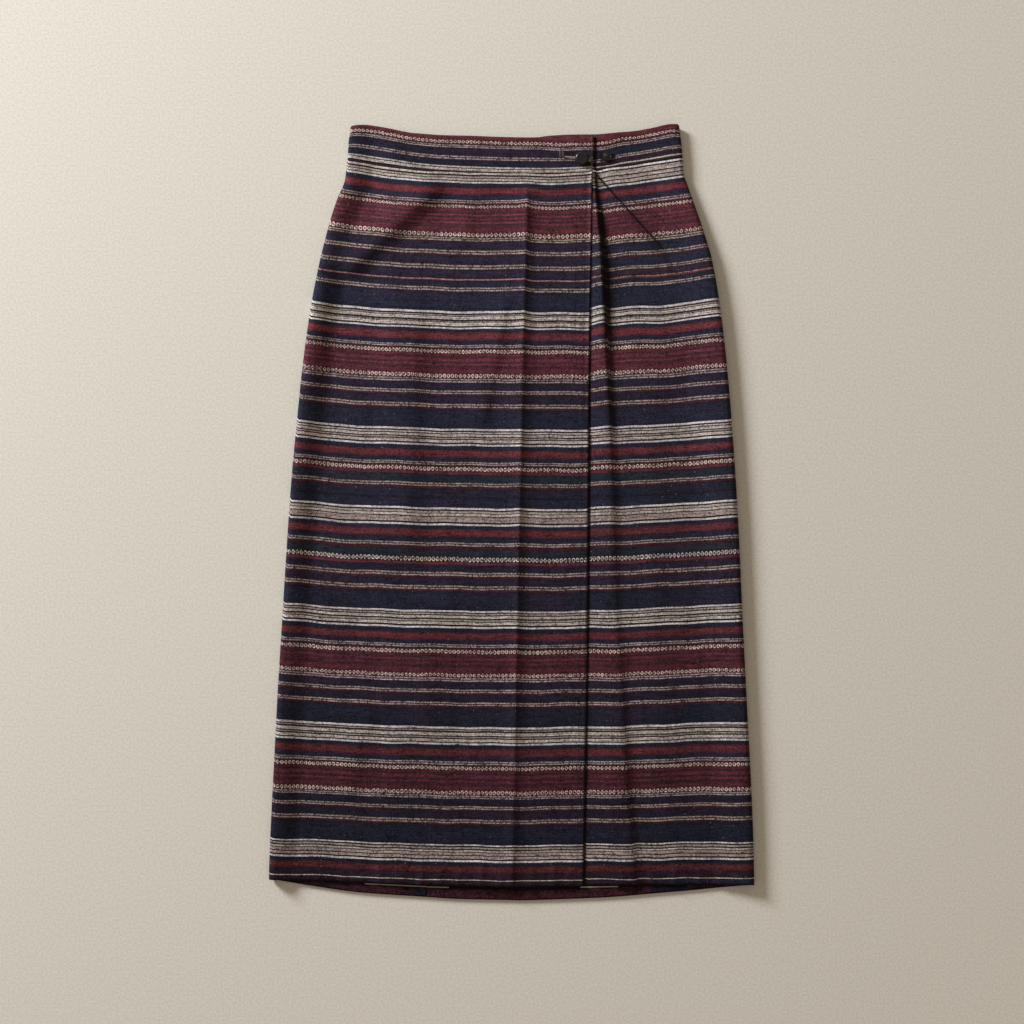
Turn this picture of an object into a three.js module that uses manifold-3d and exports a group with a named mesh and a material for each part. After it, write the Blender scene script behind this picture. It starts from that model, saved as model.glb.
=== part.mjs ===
// A wrap skirt of striped handwoven cotton, laid flat on a surface and seen with its waist toward +Y.
// Millimetres, +Z up, z = 0 is the surface that it lies on.
// The cloth is a set of walls: each is a grid of points through the middle of the cloth,
// moved out to both sides along its own normals and closed round the rim.
import * as THREE from 'three';
import { mergeVertices } from 'three/addons/utils/BufferGeometryUtils.js';
import Module from 'manifold-3d';

// Cloth
const CLOTH = 1.2;            // wall of one layer
const BAND = 2.4;             // the waistband, folded double
const GAP = 0.3;              // between pieces at seams and between layers

// Side folds
const FOLD_DEPTH = 5.5;       // how far in from the outline the round of a fold goes
const FALL_LEFT = 28;         // width over which the front falls from the left fold to the flat
const FALL_RIGHT = 46;        // the same beside the right fold
const SEAM_TILT = 0.13;       // share of a wall's thickness that its tilted end takes at the seam

// Overlap
const UNDERLAP_END = -128;    // the hidden free edge of the right front
const CREASE_HEIGHT = 4.6;    // the pressed crease down the overlap
const FACING_DEPTH = 40;      // width of the strips inside the back hem
const FACING_JOINT = -96.9;   // where the two strips meet

// Fastening
const OUTER_BUTTON = { x: 79.2, y: 403.3, diameter: 15, thick: 3.2, tilt: 0.05 };
const SECOND_BUTTON = { x: 107.5, y: 406.2, diameter: 11.6, thick: 3.6, tilt: 0.1 };
const BUTTONHOLE = { x: 65.5, y: 408.3, length: 16, open: 3.4 };

// The outline of both sides, from the waist's top down
const sides = [
  // y, left x, right x
  [440.9, -183.5, 190.4],
  [422.7, -186.3, 193.0],
  [404.4, -187.5, 194.7],
  [386.2, -189.6, 195.9],
  [377.1, -191.3, 198.9],
  [358.8, -198.9, 205.2],
  [333.7, -206.9, 213.7],
  [310.9, -212.8, 220.9],
  [288.1, -218.3, 227.4],
  [242.5, -227.4, 235.6],
  [196.9, -234.3, 241.5],
  [151.3, -240.0, 246.2],
  [105.7, -244.5, 250.0],
  [37.3, -251.0, 254.8],
  [-31.1, -255.9, 258.7],
  [-122.3, -261.6, 262.8],
  [-213.5, -267.2, 267.3],
  [-304.7, -271.9, 272.1],
  [-373.1, -275.3, 275.0],
  [-418.7, -277.0, 276.1],
];

// Edges that run across, each with columns x, y
const topOver = [
  [-184.7, 437.5],
  [-181.3, 440.6],
  [-167.6, 441.8],
  [-150.5, 439.8],
  [-133.4, 436.3],
  [-116.3, 432.9],
  [-99.2, 431.4],
  [-82.1, 430.1],
  [-47.9, 429.3],
  [-13.7, 428.0],
  [20.5, 427.4],
  [49.0, 428.4],
  [71.8, 429.6],
  [92.3, 429.2],
];
const topUnder = [
  [-128.0, 431.0],
  [-47.9, 427.0],
  [20.5, 426.6],
  [40.0, 429.6],
  [71.8, 431.2],
  [95.8, 431.4],
  [106.0, 432.2],
  [123.1, 433.8],
  [140.2, 435.2],
  [152.8, 437.2],
  [161.9, 438.8],
  [171.0, 440.9],
  [180.1, 442.5],
  [187.0, 442.5],
  [191.5, 440.3],
];
const topBack = [
  [-184.7, 437.5],
  [-167.6, 440.0],
  [-116.3, 431.0],
  [0.0, 426.0],
  [106.0, 430.5],
  [180.1, 440.6],
  [191.5, 439.8],
];
const waistSeam = [
  [-188.1, 403.8],
  [-150.5, 399.3],
  [-94.6, 391.9],
  [-36.5, 388.5],
  [49.0, 386.9],
  [93.5, 389.3],
  [112.9, 392.7],
  [140.2, 396.8],
  [194.9, 405.1],
];
const hemOver = [
  [-277.0, -417.5],
  [-184.7, -420.6],
  [-96.9, -424.0],
  [-2.3, -426.1],
  [80.9, -425.5],
];
const hemUnder = [
  [-128.0, -420.0],
  [80.0, -421.6],
  [84.4, -423.7],
  [276.1, -423.4],
];
const hemBack = [
  [-277.0, -418.0],
  [-266.8, -419.2],
  [-221.2, -424.9],
  [-173.8, -431.5],
  [-98.0, -437.2],
  [-65.0, -440.3],
  [-3.4, -442.0],
  [9.1, -442.6],
  [80.9, -440.3],
  [123.1, -438.0],
  [161.9, -434.6],
  [197.2, -431.7],
  [237.1, -427.8],
  [275.9, -424.7],
];

// Lines that run down, each with columns y, x
const overlapEdge = [
  [428.4, 92.3],
  [379.3, 91.2],
  [305.2, 90.1],
  [208.3, 88.2],
  [71.5, 87.1],
  [-53.9, 86.4],
  [-167.9, 85.3],
  [-270.5, 83.7],
  [-425.5, 80.9],
];
const crestLine = [
  [428.4, 92.3],
  [388.5, 93.9],
  [361.1, 95.4],
  [322.3, 98.9],
  [287.0, 101.7],
  [233.4, 104.6],
  [162.7, 108.2],
  [91.5, 112.0],
  [20.0, 115.0],
  [-93.8, 118.3],
  [-193.0, 124.5],
  [-307.0, 131.0],
  [-425.5, 140.5],
];
const crestDrop = [
  // y, how far the cloth drops beside the crest, over what width
  [400.0, 1.2, 5.0],
  [361.1, 3.2, 6.0],
  [322.3, 4.8, 7.0],
  [260.0, 5.0, 8.0],
  [205.0, 4.6, 9.0],
  [139.9, 4.0, 12.0],
  [60.1, 3.6, 13.0],
  [-31.1, 3.4, 13.0],
  [-122.3, 2.8, 16.0],
  [-250.0, 3.2, 15.0],
  [-340.0, 3.0, 18.0],
  [-425.5, 2.4, 22.0],
];
const foldHeights = [
  // y, height of the left side fold over the surface, and of the right one
  [386.0, 8.6, 8.6],
  [330.0, 10.4, 9.8],
  [280.0, 11.6, 11.1],
  [150.0, 11.6, 11.5],
  [40.0, 10.8, 11.5],
  [-60.0, 10.2, 11.5],
  [-160.0, 9.4, 11.5],
  [-260.0, 9.6, 11.5],
  [-420.0, 8.2, 11.0],
];
const creaseLine = [
  [428.4, 19.0],
  [390.7, 18.2],
  [200.0, 12.9],
  [0.0, 8.6],
  [-430.1, 0.0],
];

// Soft creases in the fronts, each a ridge whose sharp side lies to the right of the way it runs
const overCreases = [
  // from x, y, to x, y, gentle half width, sharp half width, height
  [-184, 284, -84, 376, 26, 11, 5.2],
  [-122, -50, -113, 238, 55, 15, 3.4],
  [-38, 92, -32, 246, 20, 10, 1.6],
  [-99, -255, -92, -95, 26, 20, 1.6],
  [-196, -330, -158, -212, 28, 15, 1.4],
];
const underCreases = [
  [163, 126, 202, 210, 22, 13, 1.4],
  [186, 250, 176, 296, 9, 14, 1.0],
  [166, -300, 150, -60, 34, 30, 1.4],
  [228, -390, 208, -190, 24, 14, 1.0],
];
const dart = { from: [94.6, 387.8], to: [173.3, 300.1], width: 5.5, depth: 1.5, puff: 2.1, spread: 34 };

// Where the rows of a panel lie, as shares of the way from waist to hem
const panelRows = [
  // from, to, steps
  [0, 0.18, 12],
  [0.18, 0.95, 15],
  [0.95, 1, 4],
];

// Looks up a smooth curve through a table whose first column rises or falls.
function along(table, at, column = 1) {
  const rising = table[table.length - 1][0] > table[0][0];
  const row = (i) => table[Math.max(0, Math.min(table.length - 1, i))];
  let i = 0;
  while (i < table.length - 2 && (rising ? at > table[i + 1][0] : at < table[i + 1][0])) i += 1;
  const [a, b, c, d] = [row(i - 1), row(i), row(i + 1), row(i + 2)];
  const span = c[0] - b[0];
  const t = Math.max(0, Math.min(1, (at - b[0]) / span));
  const chord = (c[column] - b[column]) / span;
  const slope = (p, q) => (q[0] === p[0] ? chord : (q[column] - p[column]) / (q[0] - p[0]));
  const limit = (s) => (s * chord <= 0 ? 0 : Math.sign(chord) * Math.min(Math.abs(s), 3 * Math.abs(chord)));
  const m0 = limit(slope(a, c)) * span;
  const m1 = limit(slope(b, d)) * span;
  const t2 = t * t;
  const t3 = t2 * t;
  return (2 * t3 - 3 * t2 + 1) * b[column] + (t3 - 2 * t2 + t) * m0
    + (3 * t2 - 2 * t3) * c[column] + (t3 - t2) * m1;
}

const clamp = (v) => Math.max(0, Math.min(1, v));
const ease = (v) => clamp(v) ** 2 * (3 - 2 * clamp(v));
const mix = (a, b, t) => a + (b - a) * t;

// Height of a soft crease that runs from one point to another and fades out at its ends.
function creaseHeight(x, y, [x0, y0, x1, y1, gentle, sharp, height]) {
  const length = Math.hypot(x1 - x0, y1 - y0);
  const alongIt = ((x - x0) * (x1 - x0) + (y - y0) * (y1 - y0)) / length;
  const right = ((x - x0) * (y1 - y0) - (y - y0) * (x1 - x0)) / length;
  const fade = 1.2 * Math.max(gentle, sharp);
  const ends = ease(alongIt / fade + 0.5) * ease((length - alongIt) / fade + 0.5);
  return height * ends * Math.exp(-((right / (right > 0 ? sharp : gentle)) ** 2));
}

// A closed wall round a grid of mid points: rows of columns of [x, y, z].
function wall(grid, thick) {
  const rows = grid.length;
  const columns = grid[0].length;
  const at = (r, c) => new THREE.Vector3(...grid[r][c]);
  const positions = [];
  const sheets = [1, -1].map((side) => grid.map((line, r) => line.map((point, c) => {
    const down = at(Math.min(r + 1, rows - 1), c).sub(at(Math.max(r - 1, 0), c));
    const across = at(r, Math.min(c + 1, columns - 1)).sub(at(r, Math.max(c - 1, 0)));
    const normal = across.cross(down).normalize().multiplyScalar(-side * thick / 2);
    positions.push(point[0] + normal.x, point[1] + normal.y, point[2] + normal.z);
    return positions.length / 3 - 1;
  })));
  const index = [];
  const quad = (a, b, c, d) => index.push(a, b, c, a, c, d);
  const [top, under] = sheets;
  for (let r = 0; r < rows - 1; r += 1) {
    for (let c = 0; c < columns - 1; c += 1) {
      quad(top[r][c], top[r + 1][c], top[r + 1][c + 1], top[r][c + 1]);
      quad(under[r][c], under[r][c + 1], under[r + 1][c + 1], under[r + 1][c]);
    }
  }
  const rim = [];
  for (let c = 0; c < columns; c += 1) rim.push([0, c]);
  for (let r = 1; r < rows; r += 1) rim.push([r, columns - 1]);
  for (let c = columns - 2; c >= 0; c -= 1) rim.push([rows - 1, c]);
  for (let r = rows - 2; r > 0; r -= 1) rim.push([r, 0]);
  rim.forEach(([r, c], i) => {
    const [r2, c2] = rim[(i + 1) % rim.length];
    quad(top[r][c], top[r2][c2], under[r2][c2], under[r][c]);
  });
  const geometry = new THREE.BufferGeometry();
  geometry.setAttribute('position', new THREE.Float32BufferAttribute(positions, 3));
  geometry.setIndex(index);
  geometry.computeVertexNormals();
  return geometry;
}

// Height of a side fold at a given y, on the left (-1) or the right (1).
function foldHeight(y, side) {
  return along(foldHeights, y, side < 0 ? 1 : 2);
}

// The flat height of the right front, the lower of the two fronts, and what lifts it.
function hemLift(x, y) {
  const facingTop = along(hemBack, x) + FACING_DEPTH;
  return (CLOTH + GAP) * ease((facingTop + 16 - y) / 15);
}
function waistLift(x, y, height) {
  const below = along(waistSeam, x) - y;
  return height * (1 - ease(below / 30));
}
function underHeight(x, y) {
  let z = CLOTH + GAP + CLOTH / 2 + 0.05;
  z += hemLift(x, y);
  z += waistLift(x, y, BAND - CLOTH + 0.55);
  const [drop, steep] = [along(crestDrop, y, 1), along(crestDrop, y, 2)];
  const rise = Math.max(along(crestLine, y) - along(overlapEdge, y) + 3, 7);
  const off = x - along(crestLine, y) + 1.2;
  z += drop * (off > 0 ? 1 - ease(off / steep) : 1 - ease(-off / rise));
  z += 1.4 * ease((370 - y) / 90) * ease((off - steep) / 34) * (1 - ease((off - 34) / 50));
  underCreases.forEach((row) => { z += creaseHeight(x, y, row); });
  const { from, to, width, depth, puff, spread } = dart;
  z += creaseHeight(x, y, [...from, ...to, spread, spread, puff]) * ease((x - 98) / 20);
  z -= creaseHeight(x, y, [...from, ...to, width, width, depth]) * ease((x - 94) / 6);
  return z;
}
function overHeight(x, y) {
  const flat = CLOTH + GAP + CLOTH / 2 + 0.05 + hemLift(x, y) + waistLift(x, y, BAND - CLOTH + 0.55);
  const stack = underHeight(x, y) + CLOTH + GAP + 0.12
    + waistLift(x, y, BAND - CLOTH - 0.1);
  let z = mix(flat, stack, ease((x - UNDERLAP_END + 34) / 30));
  const fromCrease = x - along(creaseLine, y);
  const press = fromCrease < 0 ? Math.exp(fromCrease / 18) : Math.exp(-fromCrease / 8);
  z += CREASE_HEIGHT * press * ease((404 - y) / 60) * (1 - 0.25 * ease((-150 - y) / 200));
  overCreases.forEach((row) => { z += creaseHeight(x, y, row); });
  return z;
}

// Points across a piece at one height y. The fold runs from the seam at its outermost point,
// over its round, and on to the flat.
const FOLD_STEPS = 5;
function foldColumns(y, side, thick, upper) {
  const edge = along(sides, y, side < 0 ? 1 : 2) - side * thick / 2;
  const middle = foldHeight(y, side) / 2;
  const reach = middle - thick / 2;
  const first = Math.asin((GAP / 2 + SEAM_TILT * thick) / reach);
  const depth = Math.min(FOLD_DEPTH, 1.25 * reach);
  const columns = [];
  for (let i = 0; i <= FOLD_STEPS; i += 1) {
    const turn = mix(first, Math.PI / 2, i / FOLD_STEPS);
    const x = edge - side * depth * (1 - Math.cos(turn));
    columns.push([x, middle + (upper ? 1 : -1) * reach * Math.sin(turn)]);
  }
  return columns;
}

// Height of a front at a point: its fold's top near the side, falling to the flat.
function frontHeight(x, y, side, thick, flatHeight) {
  const edge = along(sides, y, side < 0 ? 1 : 2);
  const inside = side * (edge - x) - thick / 2 - FOLD_DEPTH;
  const crown = foldHeight(y, side) - thick / 2;
  const flat = flatHeight(x, y);
  return mix(crown, flat, ease(inside / (side < 0 ? FALL_LEFT : FALL_RIGHT)));
}

function spread(from, to, steps) {
  return Array.from({ length: steps }, (_, i) => mix(from, to, i / steps));
}

function rowShares(stretches) {
  const shares = stretches.flatMap(([from, to, steps]) => spread(from, to, steps));
  return [...shares, 1];
}

// One row of a front piece. Anchors are the x of lines that its columns follow, with a number
// of columns from each to the next, from the side fold to the free edge.
function frontRow(yAt, side, thick, anchors, flatHeight) {
  const row = [];
  const yMid = yAt(0);
  foldColumns(yAt(side * 200), side, thick, true).forEach(([x, z]) => row.push([x, yAt(x), z]));
  const start = row[row.length - 1][0];
  const stops = [[start, anchors[0][1]], ...anchors.slice(1).map(([line, steps]) => [line(yMid), steps])];
  for (let i = 0; i < stops.length - 1; i += 1) {
    const steps = stops[i][1];
    for (let k = 1; k <= steps; k += 1) {
      const x = mix(stops[i][0], stops[i + 1][0], k / steps);
      const y = yAt(x);
      row.push([x, y, frontHeight(x, y, side, thick, flatHeight)]);
    }
  }
  return side < 0 ? row : row.reverse();
}

function frontPanel(side, hem, anchors, flatHeight) {
  return wall(rowShares(panelRows).map((share) => {
    const yAt = (x) => mix(along(waistSeam, x) - GAP / 2, along(hem, x), share);
    return frontRow(yAt, side, CLOTH, anchors, flatHeight);
  }), CLOTH);
}

function frontBand(side, top, anchors, flatHeight) {
  return wall(spread(1, 0, 4).concat(0).map((share) => {
    const yAt = (x) => mix(along(waistSeam, x) + GAP / 2, along(top, x), share);
    return frontRow(yAt, side, BAND, anchors, flatHeight);
  }), BAND);
}

// One row of a back piece, from the left fold's middle under the skirt to the right one's.
function backRow(yAt, thick, steps) {
  const ends = [-1, 1].map((side) => foldColumns(yAt(side * 200), side, thick, false)
    .map(([x, z]) => [x, yAt(x), z]));
  const from = ends[0][FOLD_STEPS][0];
  const to = ends[1][FOLD_STEPS][0];
  const flat = spread(from, to, steps).slice(1).map((x) => [x, yAt(x), thick / 2]);
  return [...ends[0], ...flat, ...ends[1].reverse()];
}

function facing(from, to, steps) {
  const xs = [...spread(from, to, steps), to];
  const z = CLOTH + GAP + CLOTH / 2;
  const rows = [FACING_DEPTH, FACING_DEPTH / 2, 0.8];
  return wall(rows.map((up) => xs.map((x) => [x, along(hemBack, x) + up, z])), CLOTH);
}

// A flat disc with a round rim, and a shallow dish or a cut groove in its face.
function button({ x, y, diameter, thick, tilt }, base, profile) {
  const r = diameter / 2;
  const points = profile.map(([share, height]) => new THREE.Vector2(r * share, thick * height));
  const lathe = new THREE.LatheGeometry(points, 32);
  lathe.deleteAttribute('normal');
  lathe.deleteAttribute('uv');
  const geometry = mergeVertices(lathe, 1e-4);
  geometry.rotateX(Math.PI / 2);
  geometry.rotateY(tilt);
  geometry.translate(x, y, base + r * Math.sin(Math.abs(tilt)));
  geometry.computeVertexNormals();
  return geometry;
}

const outerProfile = [
  // share of the radius, share of the thickness
  [0, 0],
  [0.86, 0],
  [0.97, 0.14],
  [1, 0.42],
  [0.97, 0.78],
  [0.88, 1],
  [0.74, 0.94],
  [0.6, 0.74],
  [0.3, 0.68],
  [0, 0.68],
];
const secondProfile = [
  [0, 0],
  [0.7, 0],
  [0.92, 0.2],
  [1, 0.45],
  [0.93, 0.66],
  [0.7, 0.86],
  [0.36, 0.98],
  [0, 1],
];

const wasm = await Module();
wasm.setup();

function toManifold(geometry) {
  const bare = geometry.clone();
  bare.deleteAttribute('normal');
  bare.deleteAttribute('uv');
  const merged = mergeVertices(bare, 1e-5);
  const mesh = new wasm.Mesh({
    numProp: 3,
    vertProperties: new Float32Array(merged.attributes.position.array),
    triVerts: new Uint32Array(merged.index.array),
  });
  mesh.merge();
  return wasm.Manifold.ofMesh(mesh);
}

function fromManifold(solid) {
  const { vertProperties, triVerts } = solid.getMesh();
  const geometry = new THREE.BufferGeometry();
  geometry.setAttribute('position', new THREE.Float32BufferAttribute(vertProperties, 3));
  geometry.setIndex([...triVerts]);
  geometry.computeVertexNormals();
  return geometry;
}

// The opened buttonhole is a lens: pointed at both ends and widest in the middle.
function cutButtonhole(band) {
  const { x, y, length, open } = BUTTONHOLE;
  const lens = [];
  for (let i = 0; i < 16; i += 1) {
    const turn = (i / 16) * 2 * Math.PI;
    lens.push(new THREE.Vector2(
      length / 2 * Math.cos(turn),
      open / 2 * Math.sin(turn) * Math.abs(Math.sin(turn)),
    ));
  }
  const bore = new THREE.ExtrudeGeometry(new THREE.Shape(lens), { depth: 12, bevelEnabled: false });
  bore.translate(x, y, 4);
  return fromManifold(toManifold(band).subtract(toManifold(bore)));
}

const cloth = new THREE.MeshStandardMaterial({ color: 0x3a2630, roughness: 0.9, metalness: 0 });
const clothInside = new THREE.MeshStandardMaterial({ color: 0x54303a, roughness: 0.92, metalness: 0 });
const horn = new THREE.MeshStandardMaterial({ color: 0x17171a, roughness: 0.35, metalness: 0 });

const skirt = new THREE.Group();
skirt.name = 'wrap_skirt';
function add(name, geometry, material) {
  const mesh = new THREE.Mesh(geometry, material);
  mesh.name = name;
  skirt.add(mesh);
}

const underEnd = () => UNDERLAP_END;
const overlap = (y) => along(overlapEdge, y);
const crest = (y) => along(crestLine, y);
const crestFoot = (y) => along(crestLine, y) + along(crestDrop, y, 2);
const crease = (y) => along(creaseLine, y);
const creaseFoot = (y) => along(creaseLine, y) + 12;
const creaseStart = (y) => along(creaseLine, y) - 20;
const leftFoot = (y) => along(sides, y, 1) + 44;

const nearEdge = (y) => overlap(y) - 6;
const farEdge = (y) => overlap(y) - 14;
const underLines = [[null, 14], [crestFoot, 3], [crest, 3], [overlap, 2], [nearEdge, 1], [farEdge, 8], [underEnd, 0]];
const overLines = [[null, 6], [leftFoot, 6], [underEnd, 8], [creaseStart, 2], [crease, 3], [creaseFoot, 4],
  [farEdge, 1], [nearEdge, 2], [overlap, 0]];

add('back_panel', wall(rowShares([[0, 0.2, 4], [0.2, 0.95, 10], [0.95, 1, 2]]).map((share) => (
  backRow((x) => mix(along(waistSeam, x) - GAP / 2, along(hemBack, x), share), CLOTH, 18))), CLOTH), cloth);
add('hem_facing_left', facing(-262, FACING_JOINT - GAP / 2, 8), clothInside);
add('hem_facing_right', facing(FACING_JOINT + GAP / 2, 262, 14), clothInside);
add('under_front', frontPanel(1, hemUnder, underLines, underHeight), cloth);
add('over_front', frontPanel(-1, hemOver, overLines, overHeight), cloth);

// The three stretches of the band lie on each other like the panels that they hold.
const bandFlat = BAND + GAP + BAND / 2;
const bandStack = 2 * (BAND + GAP) + BAND / 2;
const underBandLines = [[null, 9], [overlap, 9], [underEnd, 0]];
const overBandLines = [[null, 5], [() => UNDERLAP_END - 40, 4], [underEnd, 11], [overlap, 0]];
const underBand = frontBand(1, topUnder, underBandLines, () => bandFlat);
const overBand = frontBand(-1, topOver, overBandLines, (x) => (
  mix(bandFlat, bandStack, ease((x - UNDERLAP_END + 40) / 36))));
add('waistband_back', wall(spread(1, 0, 4).concat(0).map((share) => (
  backRow((x) => mix(along(waistSeam, x) + GAP / 2, along(topBack, x), share), BAND, 14))), BAND), cloth);
add('waistband_under', underBand, cloth);
add('waistband_over', cutButtonhole(overBand), cloth);

add('button_outer', button(OUTER_BUTTON, bandStack + BAND / 2 + GAP, outerProfile), horn);
add('button_second', button(SECOND_BUTTON, bandFlat + BAND / 2 + GAP, secondProfile), horn);

export default skirt;
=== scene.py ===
# %% [markdown]
# # A striped wrap skirt, laid flat
# The skirt lies on a pale surface and is seen from straight above. Its back lies lowest,
# the right front lies on it, and the left front laps over that and is held by a button.
# The solids give the real size and place of each piece. This script dresses them: each
# piece becomes a fine thin shell of the same form, woven from a weaver's plan of stripes.

# %% The frame
import math

import bpy
import numpy as np
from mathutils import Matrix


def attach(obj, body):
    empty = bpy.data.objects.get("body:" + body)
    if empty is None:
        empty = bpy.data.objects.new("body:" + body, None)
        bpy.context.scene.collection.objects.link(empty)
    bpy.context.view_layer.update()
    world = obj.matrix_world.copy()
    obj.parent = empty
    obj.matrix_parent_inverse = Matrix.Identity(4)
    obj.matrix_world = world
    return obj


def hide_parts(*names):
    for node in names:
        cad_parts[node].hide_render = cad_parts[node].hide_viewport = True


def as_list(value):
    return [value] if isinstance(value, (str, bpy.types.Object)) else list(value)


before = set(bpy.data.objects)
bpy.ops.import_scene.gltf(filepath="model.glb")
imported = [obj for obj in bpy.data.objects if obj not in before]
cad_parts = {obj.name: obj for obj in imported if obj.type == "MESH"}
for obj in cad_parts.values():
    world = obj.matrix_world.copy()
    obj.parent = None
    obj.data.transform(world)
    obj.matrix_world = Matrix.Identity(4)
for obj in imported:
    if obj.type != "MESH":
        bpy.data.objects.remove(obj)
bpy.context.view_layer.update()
MM = 0.001

# %% [markdown]
# ## The camera
# A camera straight above sees the skirt with no slant. The picture is 1.167 m wide at the
# height of the side folds, so the lens and the width together give how high it hangs.

# %% Camera
PICTURE_WIDTH = 1.16736
LENS = 70.0
SENSOR = 36.0
PICTURE_MIDDLE_Y = 0.0009
FOLD_LEVEL = 0.005


def placed(name, data):
    """Puts a mesh, a lamp or a camera into the scene as an object."""
    made = bpy.data.objects.new(name, data)
    bpy.context.collection.objects.link(made)
    return made


camera = placed("camera", bpy.data.cameras.new("camera"))
camera.data.lens = LENS
camera.data.sensor_width = SENSOR
camera.location = (0.0, PICTURE_MIDDLE_Y, PICTURE_WIDTH * LENS / SENSOR + FOLD_LEVEL)
bpy.context.scene.camera = camera
print("the camera hangs at", round(camera.location.z, 3), "m")

# %% [markdown]
# ## The outline and the lines of the form
# The outline comes from short tables in millimetres, each read as a smooth curve. Limiting the
# slope at each row keeps the curve from overshooting between the rows.

# %% Tables of the outline
SIDES = np.array([
    # y, left x, right x
    [440.9, -183.5, 190.4], [422.7, -186.3, 193],
    [404.4, -187.5, 194.7], [386.2, -189.6, 195.9],
    [377.1, -191.3, 198.9], [358.8, -198.9, 205.2],
    [333.7, -206.9, 213.7], [310.9, -212.8, 220.9],
    [288.1, -218.3, 227.4], [242.5, -227.4, 235.6],
    [196.9, -234.3, 241.5], [151.3, -240, 246.2],
    [105.7, -244.5, 250], [37.3, -251, 254.8],
    [-31.1, -255.9, 258.7], [-122.3, -261.6, 262.8],
    [-213.5, -267.2, 267.3], [-304.7, -271.9, 272.1],
    [-373.1, -275.3, 275], [-418.7, -277, 276.1],
])
TOP_OVER = np.array([
    # x, y
    [-184.7, 437.5], [-181.3, 440.6], [-167.6, 441.8], [-150.5, 439.8], [-133.4, 436.3],
    [-116.3, 432.9], [-99.2, 431.4], [-82.1, 430.1], [-47.9, 429.3], [-13.7, 428],
    [20.5, 427.4], [49, 428.4], [71.8, 429.6], [92.3, 429.2],
])
TOP_UNDER = np.array([
    # x, y
    [-128, 431], [-47.9, 427], [20.5, 426.6], [40, 429.6], [71.8, 431.2],
    [95.8, 431.4], [106, 432.2], [123.1, 433.8], [140.2, 435.2], [152.8, 437.2],
    [161.9, 438.8], [171, 440.9], [180.1, 442.5], [187, 442.5], [191.5, 440.3],
])
TOP_BACK = np.array([
    # x, y
    [-184.7, 437.5], [-167.6, 440], [-116.3, 431], [0, 426], [106, 430.5],
    [180.1, 440.6], [191.5, 439.8],
])
WAIST_SEAM = np.array([
    # x, y
    [-188.1, 403.8], [-150.5, 398.2], [-127, 395], [-94.6, 391.4], [-36.5, 388.3],
    [49, 386.9], [93.5, 389.3], [112.9, 392.7], [140.2, 396.8], [194.9, 405.1],
])
HEM_OVER = np.array([
    # x, y
    [-277, -417.5], [-184.7, -420.6], [-96.9, -424], [-2.3, -426.1], [80.9, -425.5],
])
HEM_UNDER = np.array([
    # x, y
    [-128, -420], [80, -421.6], [84.4, -423.7], [276.1, -423.4],
])
HEM_BACK = np.array([
    # x, y
    [-277, -418], [-266.8, -419.6], [-221.2, -427], [-173.8, -433.4], [-98, -438.6],
    [-65, -440.8], [-3.4, -442.2], [9.1, -442.6], [80.9, -440.3], [123.1, -438],
    [161.9, -434.6], [197.2, -431.7], [237.1, -427.8], [275.9, -424.7],
])

# %% Tables of the lines that run down
OVERLAP_EDGE = np.array([
    # y, x
    [428.4, 92.3], [379.3, 91.2], [305.2, 90.1], [208.3, 88.2], [71.5, 87.1],
    [-53.9, 86.4], [-167.9, 85.3], [-270.5, 83.7], [-425.5, 80.9],
])
CREST_LINE = np.array([
    # y, x
    [428.4, 92.3], [388.5, 93.9], [361.1, 95.4], [322.3, 98.9], [287, 101.7],
    [233.4, 104.6], [162.7, 108.2], [91.5, 112], [20, 115], [-93.8, 118.3],
    [-193, 124.5], [-307, 131], [-425.5, 140.5],
])
CREST_DROP = np.array([
    # y, drop of the cloth beside the crest, width of the drop, push up in the cloth's own plane
    [400.0, 1.4, 4.0, 1.5], [361.1, 4.2, 4.5, 3.0],
    [322.3, 6.6, 6.0, 5.0], [260.0, 7.2, 8.0, 6.6],
    [205.0, 6.4, 9.0, 7.4], [139.9, 5.0, 11.0, 4.7],
    [60.1, 4.4, 12.0, 2.3], [-31.1, 3.8, 13.0, 0.6],
    [-122.3, 3.4, 14.0, -0.5], [-250.0, 4.0, 13.0, -1.8],
    [-340.0, 4.0, 12.0, -2.3], [-425.5, 3.4, 13.0, -1.6],
])
CREASE_LINE = np.array([
    # y, x
    [428.4, 19], [390.7, 18.2], [200, 12.9], [0, 8.6], [-430.1, 0],
])


def limited(slope, chord):
    """The slope at a row, flat at a peak and never over three times the chord's."""
    return np.where(slope * chord <= 0, 0, np.sign(chord) * np.minimum(abs(slope), 3 * abs(chord)))


def along(table, at, column=1):
    """Reads a smooth curve through a table whose first column rises or falls."""
    rows = table if table[0, 0] < table[-1, 0] else table[::-1]
    key, value = rows[:, 0], rows[:, column]
    chord = np.diff(value) / np.diff(key)
    slope = np.concatenate([chord[:1], (value[2:] - value[:-2]) / (key[2:] - key[:-2]), chord[-1:]])
    i = np.clip(np.searchsorted(key, at) - 1, 0, len(chord) - 1)
    span = key[i + 1] - key[i]
    t = np.clip((at - key[i]) / span, 0, 1)
    start = limited(slope[:-1], chord)[i] * span
    end = limited(slope[1:], chord)[i] * span
    return ((2 * t**3 - 3 * t**2 + 1) * value[i] + (t**3 - 2 * t**2 + t) * start
            + (3 * t**2 - 2 * t**3) * value[i + 1] + (t**3 - t**2) * end)


def ease(v):
    """Rises smoothly from 0 at 0 to 1 at 1, and stays level outside them."""
    v = np.clip(v, 0, 1)
    return v * v * (3 - 2 * v)


def mix(a, b, t):
    """A share t of the way from a to b."""
    return a + (b - a) * t


print("width at the hem:", SIDES[-1, 2] - SIDES[-1, 1], "mm")

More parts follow.
